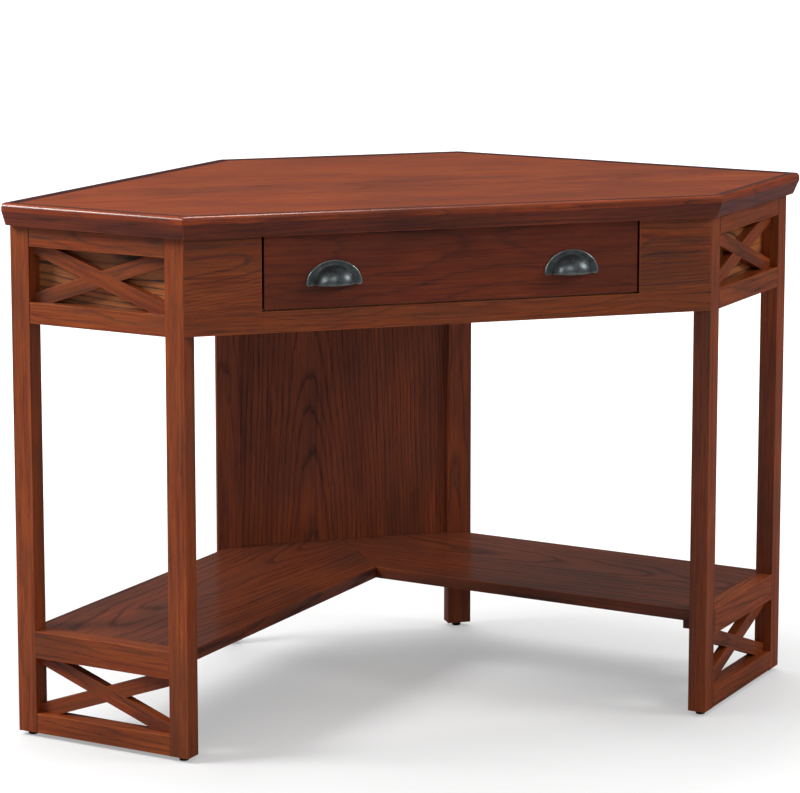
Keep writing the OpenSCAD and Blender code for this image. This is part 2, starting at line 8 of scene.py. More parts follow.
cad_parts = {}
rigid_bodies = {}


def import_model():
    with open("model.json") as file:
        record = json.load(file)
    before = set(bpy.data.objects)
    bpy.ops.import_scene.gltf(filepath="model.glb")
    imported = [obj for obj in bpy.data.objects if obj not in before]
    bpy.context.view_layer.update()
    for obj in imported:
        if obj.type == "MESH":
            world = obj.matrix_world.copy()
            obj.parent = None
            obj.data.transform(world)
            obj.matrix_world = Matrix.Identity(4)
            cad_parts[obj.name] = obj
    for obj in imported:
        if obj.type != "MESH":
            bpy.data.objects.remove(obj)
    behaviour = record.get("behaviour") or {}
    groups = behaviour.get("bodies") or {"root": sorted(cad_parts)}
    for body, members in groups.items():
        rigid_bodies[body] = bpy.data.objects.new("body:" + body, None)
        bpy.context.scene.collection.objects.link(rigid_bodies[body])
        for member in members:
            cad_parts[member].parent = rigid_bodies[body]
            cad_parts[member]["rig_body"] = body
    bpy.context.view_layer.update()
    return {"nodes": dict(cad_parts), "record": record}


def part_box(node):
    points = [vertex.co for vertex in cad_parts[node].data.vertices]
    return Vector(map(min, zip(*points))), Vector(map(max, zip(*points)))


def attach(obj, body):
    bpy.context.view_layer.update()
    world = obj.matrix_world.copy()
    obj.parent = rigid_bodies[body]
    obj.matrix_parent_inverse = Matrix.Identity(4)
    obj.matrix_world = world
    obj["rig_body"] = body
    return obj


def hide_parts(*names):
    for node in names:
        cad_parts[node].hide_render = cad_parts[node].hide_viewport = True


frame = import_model()
NODES = frame["nodes"]
SLOTS = {part["node"]: part["material_slot"] for part in frame["record"]["subparts"]}
MM = 0.001
S45 = math.sqrt(0.5)
UP = Vector((0, 0, 1))
ACROSS = Vector((1, 0, 0))
DEEP = Vector((0, 1, 0))


# ---------------------------------------------------------------- node graphs

class Graph:
    """Short calls for building one material's nodes."""

    def __init__(self, name):
        self.mat = bpy.data.materials.new(name)
        self.mat.use_nodes = True
        self.tree = self.mat.node_tree
        self.tree.nodes.clear()
        self.out = self.add("ShaderNodeOutputMaterial")
        self.bsdf = self.add("ShaderNodeBsdfPrincipled")
        self.link(self.bsdf.outputs["BSDF"], self.out.inputs["Surface"])

    def add(self, kind, **props):
        node = self.tree.nodes.new(kind)
        for key, value in props.items():
            setattr(node, key, value)
        return node

    def link(self, a, b):
        self.tree.links.new(a, b)

    def put(self, socket, value):
        if isinstance(value, bpy.types.NodeSocket):
            self.link(value, socket)
        else:
            socket.default_value = value

    def math(self, operation, a, b=0.0, c=0.0, clamp=False):
        node = self.add("ShaderNodeMath", operation=operation, use_clamp=clamp)
        for socket, value in zip(node.inputs, (a, b, c)):
            self.put(socket, value)
        return node.outputs[0]

    def grain_space(self, turn, offset):
        """Object coordinates turned so that X runs along the grain."""
        node = self.add("ShaderNodeMapping")
        self.link(self.add("ShaderNodeTexCoord").outputs["Object"], node.inputs["Vector"])
        node.inputs["Rotation"].default_value = turn.to_euler("XYZ")
        node.inputs["Location"].default_value = offset
        return node.outputs["Vector"]

    def stretch(self, vector, scale):
        node = self.add("ShaderNodeMapping")
        self.link(vector, node.inputs["Vector"])
        node.inputs["Scale"].default_value = scale
        return node.outputs["Vector"]

    def split(self, vector):
        node = self.add("ShaderNodeSeparateXYZ")
        self.link(vector, node.inputs[0])
        return node.outputs

    def join(self, x, y, z):
        node = self.add("ShaderNodeCombineXYZ")
        for socket, value in zip(node.inputs, (x, y, z)):
            self.put(socket, value)
        return node.outputs[0]

    def noise(self, vector, scale, detail=3.0, rough=0.55, distortion=0.0):
        node = self.add("ShaderNodeTexNoise")
        self.link(vector, node.inputs["Vector"])
        node.inputs["Scale"].default_value = scale
        node.inputs["Detail"].default_value = detail
        node.inputs["Roughness"].default_value = rough
        node.inputs["Distortion"].default_value = distortion
        return node.outputs["Fac"]

    def ramp(self, value, stops):
        node = self.add("ShaderNodeValToRGB")
        elements = node.color_ramp.elements
        while len(elements) < len(stops):
            elements.new(0.5)
        for element, (place, colour) in zip(elements, stops):
            element.position = place
            element.color = tuple(colour) + (1.0,)
        self.link(value, node.inputs["Fac"])
        return node.outputs["Color"]

    def span(self, value, low, high, to_low=0.0, to_high=1.0):
        node = self.add("ShaderNodeMapRange", clamp=True)
        self.put(node.inputs["Value"], value)
        for name, number in (("From Min", low), ("From Max", high),
                             ("To Min", to_low), ("To Max", to_high)):
            node.inputs[name].default_value = number
        return node.outputs["Result"]

    def mix(self, factor, a, b, blend="MIX"):
        node = self.add("ShaderNodeMix", data_type="RGBA", blend_type=blend)
        for index, value in ((0, factor), (6, a), (7, b)):
            if isinstance(value, tuple) and len(value) == 3:
                value = value + (1.0,)
            self.put(node.inputs[index], value)
        return node.outputs[2]

    def mark(self, name):
        """A value stored on the mesh."""
        return self.add("ShaderNodeAttribute", attribute_name=name).outputs["Fac"]

    def bump(self, height, strength, distance):
        node = self.add("ShaderNodeBump")
        node.inputs["Strength"].default_value = strength
        node.inputs["Distance"].default_value = distance
        self.link(height, node.inputs["Height"])
        self.link(node.outputs["Normal"], self.bsdf.inputs["Normal"])


def srgb(r, g, b):
    """Linear colour from 8-bit display values."""
    def one(v):
        v /= 255.0
        return v / 12.92 if v <= 0.04045 else ((v + 0.055) / 1.055) ** 2.4
    return (one(r), one(g), one(b))


def shade(colour, factor):
    return tuple(min(1.0, c * factor) for c in colour)


# The near-black painted into the grooves where two pieces meet, a painted shade; broad end grain
# is mixed halfway towards it
NEAR_BLACK_SHADE_AND_END_GRAIN = srgb(20, 9, 7)

# Ash in the finishes that the desk shows: light and middle tones of the stain, the brown glaze
# that lies over parts of it, and the dark of the filled pores. The glaze colour also paints the
# shade on the mouldings, and the light tone paints the highlight along eased edges
STAINS = {
    "top": dict(light=srgb(184, 88, 32), mid=srgb(154, 60, 20), glaze_and_shade=srgb(122, 50, 24),
                dark=srgb(60, 22, 10), rough=0.30, coat=0.45, coat_rough=0.15),
    "lip": dict(light=srgb(190, 86, 34), mid=srgb(146, 58, 26), glaze_and_shade=srgb(70, 32, 27),
                dark=srgb(46, 24, 20), rough=0.32, coat=0.5, coat_rough=0.12),
    # the edging strips along the back and the walls are stained near-black maroon, far darker than
    # the top they edge
    "edging": dict(light=srgb(92, 30, 24), mid=srgb(62, 20, 17), glaze_and_shade=srgb(46, 18, 17),
                   dark=srgb(28, 12, 11), rough=0.4, coat=0.2, coat_rough=0.2),
    "frame": dict(light=srgb(176, 86, 32), mid=srgb(134, 56, 22), glaze_and_shade=srgb(98, 52, 32),
                  dark=srgb(56, 32, 26), rough=0.38, coat=0.3, coat_rough=0.2),
    "inner": dict(light=srgb(214, 132, 66), mid=srgb(170, 98, 54), glaze_and_shade=srgb(126, 86, 64),
                  dark=srgb(64, 44, 38), rough=0.40, coat=0.25, coat_rough=0.22),
    "shelf": dict(light=srgb(136, 66, 34), mid=srgb(104, 48, 28), glaze_and_shade=srgb(76, 44, 34),
                  dark=srgb(42, 22, 18), rough=0.30, coat=0.5, coat_rough=0.15),
    "front": dict(light=srgb(146, 64, 28), mid=srgb(114, 42, 20), glaze_and_shade=srgb(86, 36, 20),
                  dark=srgb(42, 17, 11), rough=0.36, coat=0.3, coat_rough=0.2),
    "panel": dict(light=srgb(168, 82, 38), mid=srgb(128, 58, 30), glaze_and_shade=srgb(92, 48, 33),
                  dark=srgb(44, 24, 19), rough=0.40, coat=0.25, coat_rough=0.24),
    "plain": dict(light=srgb(214, 178, 130), mid=srgb(196, 156, 108), glaze_and_shade=srgb(184, 142, 96),
                  dark=srgb(140, 98, 60), rough=0.5, coat=0.1, coat_rough=0.3),
}


# How fine the marks in the wood are: noise scales along the grain and in the two
# directions across it
SLOW_WANDER = (2.2, 5.0, 5.0)
APART_WANDER = (2.9, 6.0, 4.0)
FRAY = (12.0, 220.0, 220.0)
FIBRE = (11.0, 330.0, 330.0)
BAND = (2.6, 48.0, 48.0)
PORES = (55.0, 1500.0, 1500.0)
FLECK = (60.0, 260.0, 260.0)
TICKS = (85.0, 640.0, 640.0)
LINES = (3.2, 230.0, 230.0)
PATCH = (4.0, 11.0, 11.0)


def wood(name, stain, grain, face, centre, ring, pith, tilt, figure, wander, seed):
    """Stained ash sawn from a log. The log's pith lies at pith, in mm, from the piece's
    centre, and leans by tilt along the grain, which draws the arches of a flat-sawn
    board. Rings are ring mm apart; figure is how strongly they show."""
    tone = STAINS[stain]
    g = Graph(name)
    x_axis = Vector(grain).normalized()
    z_axis = (Vector(face) - x_axis * Vector(face).dot(x_axis)).normalized()
    turn = Matrix((x_axis, z_axis.cross(x_axis), z_axis))
    drift = Vector((0.37 * seed, 0.0, 0.0))
    at = g.grain_space(turn, drift - turn @ Vector(centre))
    x, y, z = g.split(at)
    # the log's axis wanders and leans
    slow = g.noise(g.stretch(at, SLOW_WANDER), 1.0, 2.0)
    apart = g.noise(g.stretch(at, APART_WANDER), 1.3, 2.0)
    along = g.math("SUBTRACT", x, drift.x)
    radii = []
    for cross, noise, lean, start in ((y, slow, tilt[0], pith[0]), (z, apart, tilt[1], pith[1])):
        bend = g.math("MULTIPLY_ADD", noise, 0.05 * wander, start * MM - 0.025 * wander)
        radii.append(g.math("ADD", g.math("ADD", cross, bend), g.math("MULTIPLY", along, lean)))
    ry, rz = radii
    radius = g.math("SQRT", g.math("MULTIPLY_ADD", ry, ry, g.math("MULTIPLY", rz, rz)))
    # rings of uneven width, with frayed borders
    years = g.math("MULTIPLY", g.noise(g.join(radius, 0.11 * seed, 0.0), 42.0, 1.0), 2.4)
    fray = g.math("MULTIPLY", g.noise(g.stretch(at, FRAY), 1.0, 3.0), 0.45)
    rings = g.math("ADD", g.math("ADD", g.math("DIVIDE", radius, ring * MM), years), fray)
    early = g.ramp(g.math("FRACT", rings), [(0.0, (1, 1, 1)), (0.09, (0.75,) * 3),
                                            (0.24, (0.14,) * 3), (0.5, (0.0,) * 3),
                                            (0.94, (0.05,) * 3), (1.0, (1, 1, 1))])
    # fibres, broad bands, pores and flecks
    fibre = g.noise(g.stretch(at, FIBRE), 1.0, 4.0, 0.62)
    band = g.noise(g.stretch(at, BAND), 1.0, 3.0, 0.6)
    fine = g.noise(g.stretch(at, PORES), 1.0, 2.0, 0.6)
    fleck = g.noise(g.stretch(at, FLECK), 1.0, 3.0, 0.6)
    ticks = g.span(g.noise(g.stretch(at, TICKS), 1.0, 2.0), 0.54, 0.66)
    lines = g.noise(g.stretch(at, LINES), 1.0, 3.0, 0.6)
    patch = g.noise(g.stretch(at, PATCH), 1.0, 2.0)
    pores = g.span(fine, 0.50, 0.68)
    grain_tone = g.math("MULTIPLY_ADD", fibre, 0.55, g.math("MULTIPLY", band, 0.45))
    body = g.mix(g.span(grain_tone, 0.40, 0.62), tone["mid"], tone["light"])
    wash_and_painted_shade = g.math("MULTIPLY", g.span(g.math("MULTIPLY_ADD", band, 0.5,
                                              g.math("MULTIPLY", patch, 0.5)), 0.44, 0.62), 0.75)
    body = g.mix(wash_and_painted_shade, body, tone["glaze_and_shade"])
    ring_dark = g.math("MULTIPLY", early, g.math("MULTIPLY_ADD", fleck, 0.9 * figure,
                                                 0.40 * figure))
    pore_dark = g.math("MULTIPLY_ADD", pores, g.math("MULTIPLY_ADD", early, 0.35, 0.12),
                       g.math("MULTIPLY", ticks, 0.16))
    streak = g.math("ADD", g.span(fibre, 0.38, 0.24, 0.0, 0.30),
                    g.span(lines, 0.54, 0.70, 0.0, 0.42))
    # painted shade on the moulding faces that shaped() marked by their normals, in the glaze
    # colour
    body = g.mix(g.math("MULTIPLY", g.mark("wash_and_painted_shade"), g.span(fleck, 0.3, 0.7, 1.0, 0.7)),
                 body, tone["glaze_and_shade"])
    depth = g.math("ADD", g.math("ADD", ring_dark, pore_dark), streak, clamp=True)
    # the eased edges along the grain are painted lighter: a painted highlight
    painted_edge_highlight = g.math("MULTIPLY", g.mark("arris"), g.span(fleck, 0.35, 0.62, 0.1, 0.55))
    stained = g.mix(painted_edge_highlight, g.mix(depth, body, tone["dark"]), tone["light"])
    # broad ends darken as end grain does; eased ends in the joints go near-black, a painted shade
    g.link(g.mix(g.mark("end_grain_and_groove_shade"), stained, NEAR_BLACK_SHADE_AND_END_GRAIN), g.bsdf.inputs["Base Color"])
    smear = g.noise(at, 14.0, 3.0)
    rough = g.math("MULTIPLY_ADD", smear, 0.12,
                   g.math("MULTIPLY_ADD", depth, 0.18, tone["rough"] - 0.06))
    g.link(rough, g.bsdf.inputs["Roughness"])
    g.bsdf.inputs["Coat Weight"].default_value = tone["coat"]
    g.bsdf.inputs["Coat Roughness"].default_value = tone["coat_rough"]
    g.bsdf.inputs["Specular IOR Level"].default_value = 0.35
    g.bump(g.math("MULTIPLY_ADD", fibre, 0.4, g.math("MULTIPLY", depth, -1.0)), 0.25, 0.0004)
    return g.mat


def steel(name, colour, rough):
    """Zinc-plated pressed steel with faint rolling marks and dull spots."""
    rolling = (900.0, 30.0, 900.0)
    g = Graph(name)
    at = g.add("ShaderNodeTexCoord").outputs["Object"]
    lines = g.noise(g.stretch(at, rolling), 1.0, 2.0)
    spots = g.noise(at, 55.0, 4.0)
    tone = g.mix(g.span(spots, 0.35, 0.7), shade(colour, 0.82), colour)
    g.link(g.mix(g.span(lines, 0.3, 0.7, 0.0, 0.25), tone, shade(colour, 0.7)),
           g.bsdf.inputs["Base Color"])
    g.bsdf.inputs["Metallic"].default_value = 1.0
    g.link(g.math("MULTIPLY_ADD", spots, 0.22, rough - 0.1), g.bsdf.inputs["Roughness"])
    g.bump(lines, 0.08, 0.0002)
    return g.mat


def pewter(name):
    """Blackened cast metal with a cloudy patina and edges rubbed bright."""
    g = Graph(name)
    at = g.add("ShaderNodeTexCoord").outputs["Object"]
    cloud = g.noise(at, 90.0, 4.0, 0.6, 0.3)
    speck = g.noise(at, 800.0, 3.0, 0.6)
    blend = g.math("MULTIPLY_ADD", cloud, 0.5, g.math("MULTIPLY", speck, 0.5))
    patina = g.ramp(blend, [(0.34, srgb(62, 68, 70)), (0.50, srgb(92, 99, 101)),
                            (0.62, srgb(118, 125, 126)), (0.78, srgb(152, 158, 157))])
    rub = g.math("MULTIPLY", g.mark("wear"), g.span(cloud, 0.25, 0.6, 0.5, 1.0), clamp=True)
    g.link(g.mix(rub, patina, srgb(176, 184, 182)), g.bsdf.inputs["Base Color"])
    g.bsdf.inputs["Metallic"].default_value = 0.75
    g.link(g.math("SUBTRACT", g.math("MULTIPLY_ADD", cloud, 0.2, 0.26),
                  g.math("MULTIPLY", rub, 0.08)), g.bsdf.inputs["Roughness"])
    g.bump(g.math("MULTIPLY_ADD", speck, 0.5, cloud), 0.12, 0.0003)
    return g.mat


def plastic(name, colour):
    """Moulded plastic with a fine grain and scuffs."""
    g = Graph(name)
    at = g.add("ShaderNodeTexCoord").outputs["Object"]
    scuff = g.noise(at, 60.0, 4.0)
    g.link(g.mix(g.span(scuff, 0.4, 0.75), colour, shade(colour, 2.4)),
           g.bsdf.inputs["Base Color"])
    g.link(g.math("MULTIPLY_ADD", scuff, 0.3, 0.35), g.bsdf.inputs["Roughness"])
    g.bump(g.noise(at, 900.0, 2.0), 0.2, 0.0002)
    return g.mat


# ---------------------------------------------------------------- pieces

# How shaped() reads a CAD node's mesh
WELD = 2e-6                      # points closer than this, in metres, are one
COPLANAR = math.radians(0.6)     # faces this close in angle are one face
SMOOTH_BELOW = math.radians(40)  # softer edges than this are shaded smooth
BROAD = (8 * MM) ** 2            # faces larger than this are main faces
PARALLEL = 0.985                 # cosine above which a face points like a main face
CUTS_GRAIN = 0.3                 # cosine above which a face cuts across the grain
# an eased end is painted this far towards near-black: painted shade in the groove where it meets
# another piece
GROOVE_SHADE = 0.96              # how dark an eased end goes
END_STAIN = 0.5                  # how dark a broad end goes


def settle(piece, body, slot, *nodes):
    """Put a finished piece into the scene in place of CAD nodes."""
    bpy.context.scene.collection.objects.link(piece)
    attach(piece, body)
    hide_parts(*nodes)


def shaped(node, material, grain=None, edge=1.1, segments=2, limit=25.0, glaze_and_shade=None):
    """The CAD node's own shape with eased edges. Faces across the grain are marked, for darker end
    grain and for painted shade in the grooves at eased ends; the eased edges along the grain are
    marked for a painted highlight; and faces that the given function picks by their normals are
    marked for painted shade."""
    mesh = bpy.data.meshes.new(node + "_eased")
    work = bmesh.new()
    work.from_mesh(NODES[node].data)
    bmesh.ops.remove_doubles(work, verts=work.verts, dist=WELD)
    bmesh.ops.dissolve_limit(work, angle_limit=COPLANAR, verts=work.verts,
                             edges=work.edges, use_dissolve_boundaries=False)
    sharp = [e for e in work.edges
             if len(e.link_faces) == 2 and e.calc_face_angle(0.0) > math.radians(limit)]
    flat = [f.normal.copy() for f in work.faces if f.calc_area() > BROAD]
    if edge > 0.0 and sharp:
        bmesh.ops.bevel(work, geom=sharp, offset=edge * MM, offset_type="OFFSET",
                        segments=segments, profile=0.6, affect="EDGES", clamp_overlap=True,
                        loop_slide=True, miter_outer="SHARP")
    bmesh.ops.recalc_face_normals(work, faces=work.faces)
    for e in work.edges:
        e.smooth = len(e.link_faces) != 2 or e.calc_face_angle(0.0) < SMOOTH_BELOW
    ends, arris, wash_and_painted_shade = [], [], []
    for face in work.faces:
        face.smooth = True
        across = abs(face.normal.dot(grain)) if grain is not None else 0.0
        cut = across > CUTS_GRAIN
        eased = all(face.normal.dot(n) < PARALLEL for n in flat)
        # broad ends drink the stain; eased ends lie in the grooves where they meet another piece
        # and are painted near-black, a painted shade
        ends.append((GROOVE_SHADE if eased else END_STAIN) if cut else 0.0)
        # eased edges along the grain are marked for a painted highlight
        arris.append(1.0 if eased and not cut else 0.0)
        wash_and_painted_shade.append(glaze_and_shade(face.normal) if glaze_and_shade else 0.0)
    work.to_mesh(mesh)
    work.free()
    if grain is not None:
        for name, values in (("end_grain_and_groove_shade", ends), ("arris", arris), ("wash_and_painted_shade", wash_and_painted_shade)):
            layer = mesh.attributes.new(name, "FLOAT", "FACE")
            layer.data.foreach_set("value", values)
    mesh.materials.append(material)
    piece = bpy.data.objects.new(node + "_eased", mesh)
    settle(piece, NODES[node]["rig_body"], SLOTS[node], node)
    even = piece.modifiers.new("even_normals", "WEIGHTED_NORMAL")
    even.keep_sharp = True


def middle(node):
    """The middle of a CAD node's box."""
    low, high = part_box(node)
    return (Vector(low) + Vector(high)) / 2


def timber(node, stain, grain, face, seed, ring=5.0, pith=(0, 60), tilt=(0.0, 0.0),
           figure=0.6, wander=0.4, edge=1.1, limit=25.0, glaze_and_shade=None):
    """One wooden piece, with its own cut of wood."""
    grain = Vector(grain).normalized()
    material = wood(node + "_wood", stain, grain, face, middle(node), ring, pith, tilt,
                    figure, wander, seed)
    shaped(node, material, grain, edge, limit=limit, glaze_and_shade=glaze_and_shade)


def side_dirs(side):
    """Two directions: along a side frame towards its wall, and outwards from the frame,
    which is also along the wall."""
    return Vector((side * S45, S45, 0)), Vector((side * S45, -S45, 0))


def lip_painted_shade(normal):
    """Painted shade on the mouldings: their flat top and their downward slope are painted darker
    than the nose, in the glaze colour; the left moulding's slope, which faces the left light,
    least."""
    on_top, on_slope, on_left_slope = 0.9, 0.6, 0.35
    faces_up, faces_down, faces_left = 0.97, -0.2, -0.3
    if normal.z > faces_up:
        return on_top
    if normal.z > faces_down:
        return 0.0
    return on_left_slope if normal.x < faces_left else on_slope


# desktop
timber("desktop_board", "top", ACROSS, UP, 1, ring=7.0, pith=(60, 170), tilt=(0.01, 0.015),
       figure=0.28, wander=0.5, edge=0.0)
# the front moulding and the side mouldings below get painted shade on their flat top and downward
# slope
timber("front_moulding", "lip", ACROSS, DEEP, 4, ring=5.0, pith=(10, 60), tilt=(0.01, 0.02),
       figure=0.4, edge=0.7, limit=20.0, glaze_and_shade=lip_painted_shade)
timber("back_edging", "edging", ACROSS, UP, 5)
for side, hand in ((-1, "left_"), (1, "right_")):
    along, outward = side_dirs(side)
    timber(hand + "moulding", "lip", along, outward, 7 + side, pith=(8, 50),
           tilt=(0.01, 0.02), figure=0.3, edge=0.7, limit=20.0, glaze_and_shade=lip_painted_shade)
    timber(hand + "wall_edging", "edging", outward, UP, 10 + side)

# side frames
for side, hand in ((-1, "left_"), (1, "right_")):
    along, outward = side_dirs(side)
    base = 20 + 10 * side
    for k, post in enumerate(("front_post", "rear_post")):
        timber(hand + post, "frame", UP, outward, base + k, ring=4.2, pith=(14 - 30 * k, 70),
               tilt=(0.008, 0.006), figure=0.2, wander=0.25)
    for k, rail in enumerate(("top_rail", "lattice_rail", "shelf_rail", "foot_rail")):
        timber(hand + rail, "frame", along, outward, base + 3 + k, ring=4.6,
               pith=(6 + 9 * k, 52 - 6 * k), tilt=(0.015, 0.02), figure=0.4, wander=0.3,
               edge=1.4)
    for k, bay in enumerate(("upper", "lower")):
        for m, lean in enumerate(("falling", "rising")):
            bar = hand + bay + "_bar_" + lean
            low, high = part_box(bar)
            rise = (high[2] - low[2]) / ((high[0] - low[0]) / S45)
            # seen from outside, a falling bar runs down to the right
            rightwards = Vector((1, side, 0)) * S45
            slope = rightwards + UP * (-rise if lean == "falling" else rise)
            timber(bar, "frame", slope, outward, base + 40 + 2 * k + m, ring=4.0,
                   pith=(5, 45), tilt=(0.01, 0.01), figure=0.45, wander=0.3, edge=0.9)
    timber(hand + "backing_board", "inner", along, outward, base + 50, ring=5.5,
           pith=(15, 60), tilt=(0.02, 0.04), figure=1.0, wander=0.5)

# back
timber("back_panel", "panel", UP, DEEP, 70, ring=6.4, pith=(58, 58), tilt=(0.01, 0.075),
       figure=0.6, wander=0.35, edge=0.6)
timber("back_top_rail", "panel", ACROSS, DEEP, 72)
timber("shelf_back_rail", "panel", ACROSS, DEEP, 73)
timber("shelf_cleats", "frame", (1, 0.3, 0), UP, 75)
for side, hand in ((-1, "left_"), (1, "right_")):
    along, outward = side_dirs(side)
    base = 80 + 4 * side
    timber(hand + "back_post", "panel", UP, DEEP, base, ring=4.5, pith=(10, 70),
           tilt=(0.004, 0.01), figure=0.45, wander=0.3)
    timber(hand + "wall_rail", "frame", outward, along, base + 1, ring=6.0, pith=(12, 60),
           tilt=(0.02, 0.03))
    timber(hand + "shelf", "shelf", outward, UP, base + 2, ring=11.0, pith=(-30 * side, 46),
           tilt=(0.03, 0.07), figure=0.7, wander=0.9, edge=1.4)

# apron and drawer
for side, hand in ((-1, "left_"), (1, "right_")):
    timber(hand + "apron_block", "frame", ACROSS, DEEP, 94 + side, ring=4.0, pith=(10, 45),
           tilt=(0.05, 0.05), figure=0.55, wander=0.6, edge=1.7)
    timber(hand + "carrier", "plain", DEEP, ACROSS, 97 + side, figure=0.5)
timber("apron_low_rail", "frame", ACROSS, DEEP, 100, ring=3.6, pith=(18, 60),
       tilt=(0.006, 0.01), figure=0.35, edge=1.0)
timber("apron_top_rail", "frame", ACROSS, DEEP, 101, edge=0.7)
timber("drawer_front", "front", ACROSS, DEEP, 102, ring=10.0, pith=(34, 120),
       tilt=(0.01, 0.02), figure=0.3, wander=0.8, edge=1.0)
timber("drawer_left_side", "plain", DEEP, ACROSS, 103, ring=6.0)
timber("drawer_right_side", "plain", DEEP, ACROSS, 104, ring=6.0)
timber("drawer_back", "plain", ACROSS, DEEP, 105, ring=6.0)
timber("drawer_bottom", "plain", ACROSS, UP, 106, ring=12.0, pith=(30, 90),
       tilt=(0.01, 0.04), edge=0.3)
timber("corner_blocks", "plain", UP, ACROSS, 107, ring=6.0)

# metal and plastic
zinc = steel("zinc_steel", srgb(186, 188, 190), 0.34)
for node in ("slide_outer_members", "slide_middle_members", "slide_inner_members"):
    shaped(node, zinc, edge=0.35)
for node in ("slide_screws", "box_screws", "block_screws", "pull_screws"):
    shaped(node, zinc, edge=0.25)
shaped("foot_glides", plastic("glide_plastic", srgb(34, 26, 22)), edge=0.5)


# ---------------------------------------------------------------- cup pulls

def sheet_of(work, rows, wear_layer, wear, closed=False):
    """Quads between rows of points; wear holds one value for each row."""
    made = []
    for row, value in zip(rows, wear):
        line = []
        for point in row:
            vert = work.verts.new(point)
            vert[wear_layer] = value
            line.append(vert)
        made.append(line)
    pairs = list(zip(made, made[1:]))
    if closed:
        pairs.append((made[-1], made[0]))
    for low, high in pairs:
        for a, b, c, d in zip(low, low[1:], high[1:], high):
            if len({a, b, c, d}) == 4:
                work.faces.new((a, b, c, d))
    return made


def cup_pull(work, wear_layer, low, high):
    """A cast cup pull that fills the box from low to high and opens downwards."""
    half, tall, deep = (high.x - low.x) / 2, high.z - low.z, high.y - low.y
    crown, foot_w, lobe_h = 7.0 * MM, 11.0 * MM, 2.6 * MM
    plate, bead, wall = 1.8 * MM, 0.7 * MM, 1.6 * MM
    foot = Vector(((low.x + high.x) / 2, high.y, low.z + lobe_h))
    out_a, out_b = half, tall - lobe_h
    turns, steps = 56, 6

    def on_rim(inset, lift):
        """Points round the flange's outline, inset from its edge, lift above the drawer."""
        part = inset / crown
        a, b = out_a - part * foot_w, out_b - inset
        line = [foot + Vector((a * math.cos(t), -lift, b * math.sin(t)))
                for t in (math.pi * k / turns for k in range(turns + 1))]
        # the feet end in rounded lobes
        reach_x, reach_z = (0.5 - part) * foot_w, abs(0.5 - part) * 2 * lobe_h
        before = [foot + Vector((out_a - foot_w / 2 + reach_x * math.cos(t), -lift,
                                 reach_z * math.sin(t)))
                  for t in (-math.pi / 2 * (steps - k) / steps for k in range(steps))]
        after = [Vector((2 * foot.x - p.x, p.y, p.z)) for p in reversed(before)]
        return before + line + after

    # flange: up the outer side, over the bead, down to the plate and in to its inner edge
    section = [(0.0, 0.0, 0.4), (0.0, plate, 0.9), (0.35 * MM, plate + 0.65 * bead, 1.0),
               (bead, plate + bead, 1.0), (1.6 * bead, plate + 0.7 * bead, 0.9),
               (2.2 * bead, plate, 0.3), (crown - 1.2 * MM, plate, 0.0),
               (crown - 0.4 * MM, plate + 0.5 * MM, 0.5), (crown, plate, 0.3), (crown, 0.0, 0.0)]
    rows = [on_rim(inset, lift) for inset, lift, _ in section]
    made = sheet_of(work, rows, wear_layer, [w for _, _, w in section], closed=True)
    for end in (0, -1):
        work.faces.new([line[end] for line in made])

    # dome: arcs in upright planes, from the flange out and down to the mouth; it starts a
    # little inside the flange and stops a little short of the mouth's ends
    overlap, margin, arcs = 0.6 * MM, math.radians(3.0), 18
    a_out, b_out = out_a - foot_w + overlap, out_b - crown + overlap

    def dome(shrink, drop):
        grid = []
        for j in range(arcs + 1):
            fall = math.pi / 2 * j / arcs
            line = []
            for k in range(turns + 1):
                t = margin + (math.pi - 2 * margin) * k / turns
                a, b, d = a_out - shrink, b_out - shrink, deep - shrink
                full = math.sin(t) ** 0.85
                line.append(foot + Vector((a * math.cos(t), -d * full * math.sin(fall),
                                           b * math.sin(t) * math.cos(fall) - drop)))
            grid.append(line)
        return grid

    outer, inner = dome(0.0, 0.0), dome(wall, 0.0)
    lip_low = [p + Vector((0, 0.2 * wall, -0.5 * MM)) for p in outer[-1]]
    lip_in = [(p + q) / 2 + Vector((0, 0, -0.7 * MM)) for p, q in zip(outer[-1], inner[-1])]
    rows = outer + [lip_low, lip_in] + inner[::-1]
    fade = [0.0] * (arcs - 1) + [0.35, 1.0]
    fade[0] = 0.7
    wear = fade + [1.0, 0.8] + [0.0] * (arcs + 1)
    made = sheet_of(work, rows, wear_layer, wear, closed=True)
    for end in (0, -1):
        work.faces.new([line[end] for line in made])


def build_pulls():
    """Both pulls as one piece, each in the box of the CAD pull that it replaces."""
    corners = [v.co for v in NODES["cup_pulls"].data.vertices]
    mesh = bpy.data.meshes.new("cast_cup_pulls")
    work = bmesh.new()
    wear_layer = work.verts.layers.float.new("wear")
    for side in (-1, 1):
        own = [c for c in corners if c.x * side > 0]
        low = Vector([min(c[i] for c in own) for i in range(3)])
        high = Vector([max(c[i] for c in own) for i in range(3)])
        cup_pull(work, wear_layer, low, high)
    bmesh.ops.remove_doubles(work, verts=work.verts, dist=1e-5)
    bmesh.ops.recalc_face_normals(work, faces=work.faces)
    for face in work.faces:
        face.smooth = True
    work.to_mesh(mesh)
    work.free()
    mesh.materials.append(pewter("aged_pewter"))
    piece = bpy.data.objects.new("cast_cup_pulls", mesh)
    settle(piece, NODES["cup_pulls"]["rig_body"], SLOTS["cup_pulls"], "cup_pulls")


build_pulls()


# ---------------------------------------------------------------- stage

